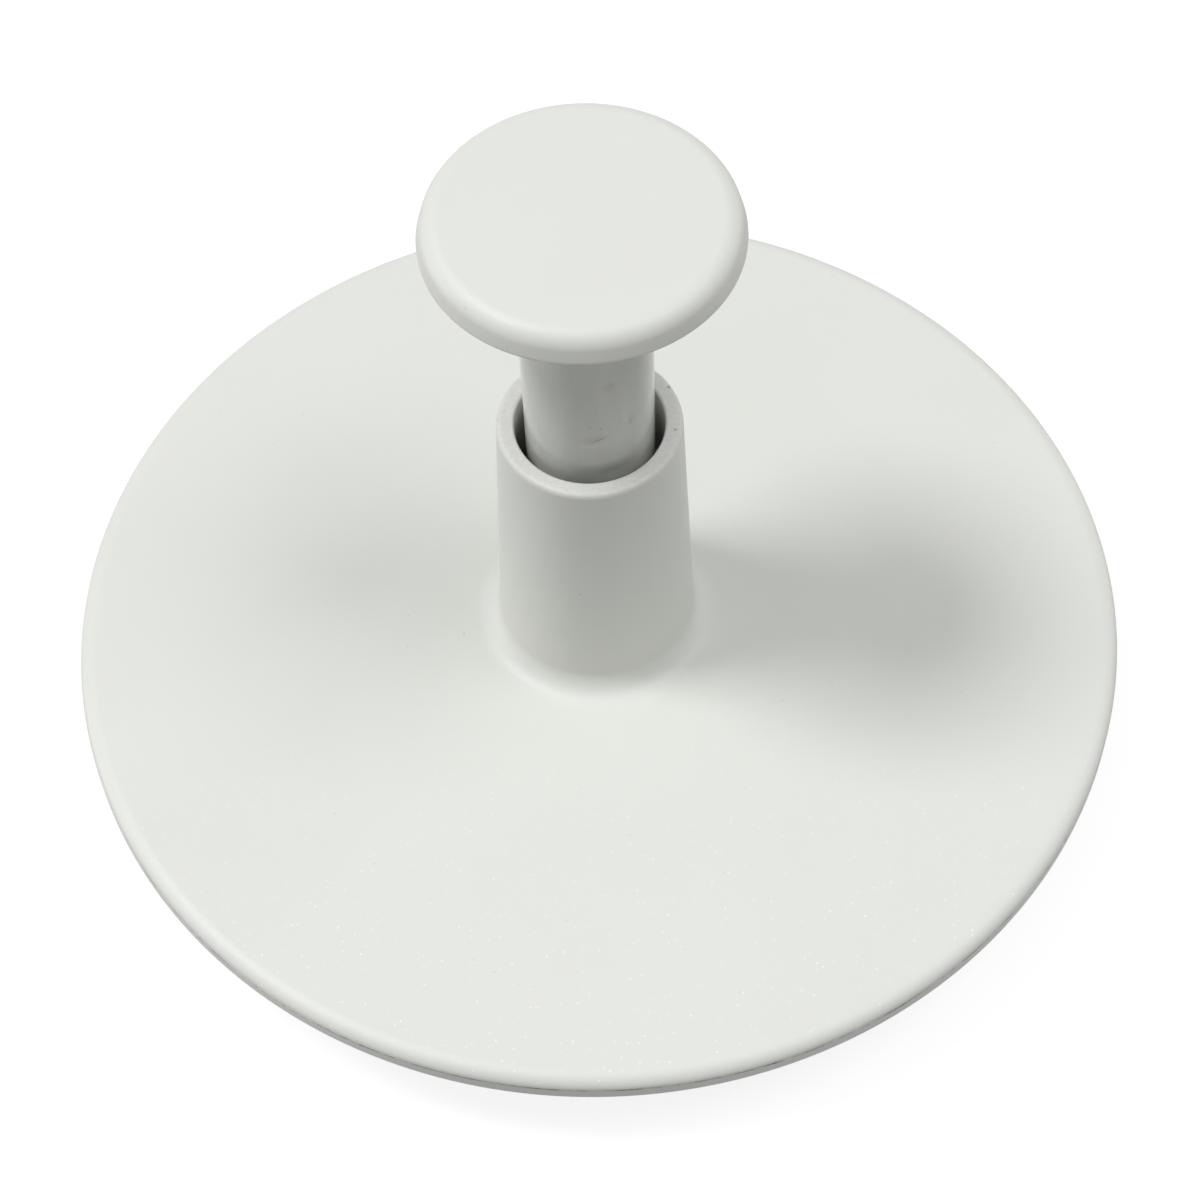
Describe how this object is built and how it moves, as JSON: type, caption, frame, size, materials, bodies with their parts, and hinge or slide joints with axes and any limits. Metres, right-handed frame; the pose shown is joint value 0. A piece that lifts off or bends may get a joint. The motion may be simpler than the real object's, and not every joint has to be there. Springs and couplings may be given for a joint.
{
  "type": "plunger cookie cutter",
  "caption": "Hand cutter for dough: a round press disc with a petal-shaped cutting wall below and a sprung thumb plunger that embosses and pushes out the cut piece.",
  "frame": {"origin": "centre of the cutting edge's plane, on the plunger's axis, under the middle of the object", "axes": "+Z along the plunger's axis towards the thumb knob; the plunger is pressed along -Z; -Y faces the viewer of the picture"},
  "size_m": [0.1, 0.1, 0.0685],
  "materials": {
    "body_plastic": "off-white moulded styrene with a fine eggshell texture",
    "knob_plastic": "off-white moulded styrene, smooth satin",
    "plate_plastic": "off-white moulded styrene, satin",
    "spring_steel": "bright drawn stainless wire"
  },
  "bodies": {
    "cutter": {"cutter_body": "body_plastic", "return_spring": "spring_steel"},
    "plunger": {"plunger_knob": "knob_plastic", "plunger_spindle": "knob_plastic", "embossing_plate": "plate_plastic"}
  },
  "joints": [
    {"name": "plunger_press", "type": "slide", "parent": "cutter", "child": "plunger", "axis": [0, 0, -1], "range_m": [0, 0.012], "stiffness_N_per_m": 640, "springref_m": -0.0056, "deforming": ["return_spring"]}
  ]
}
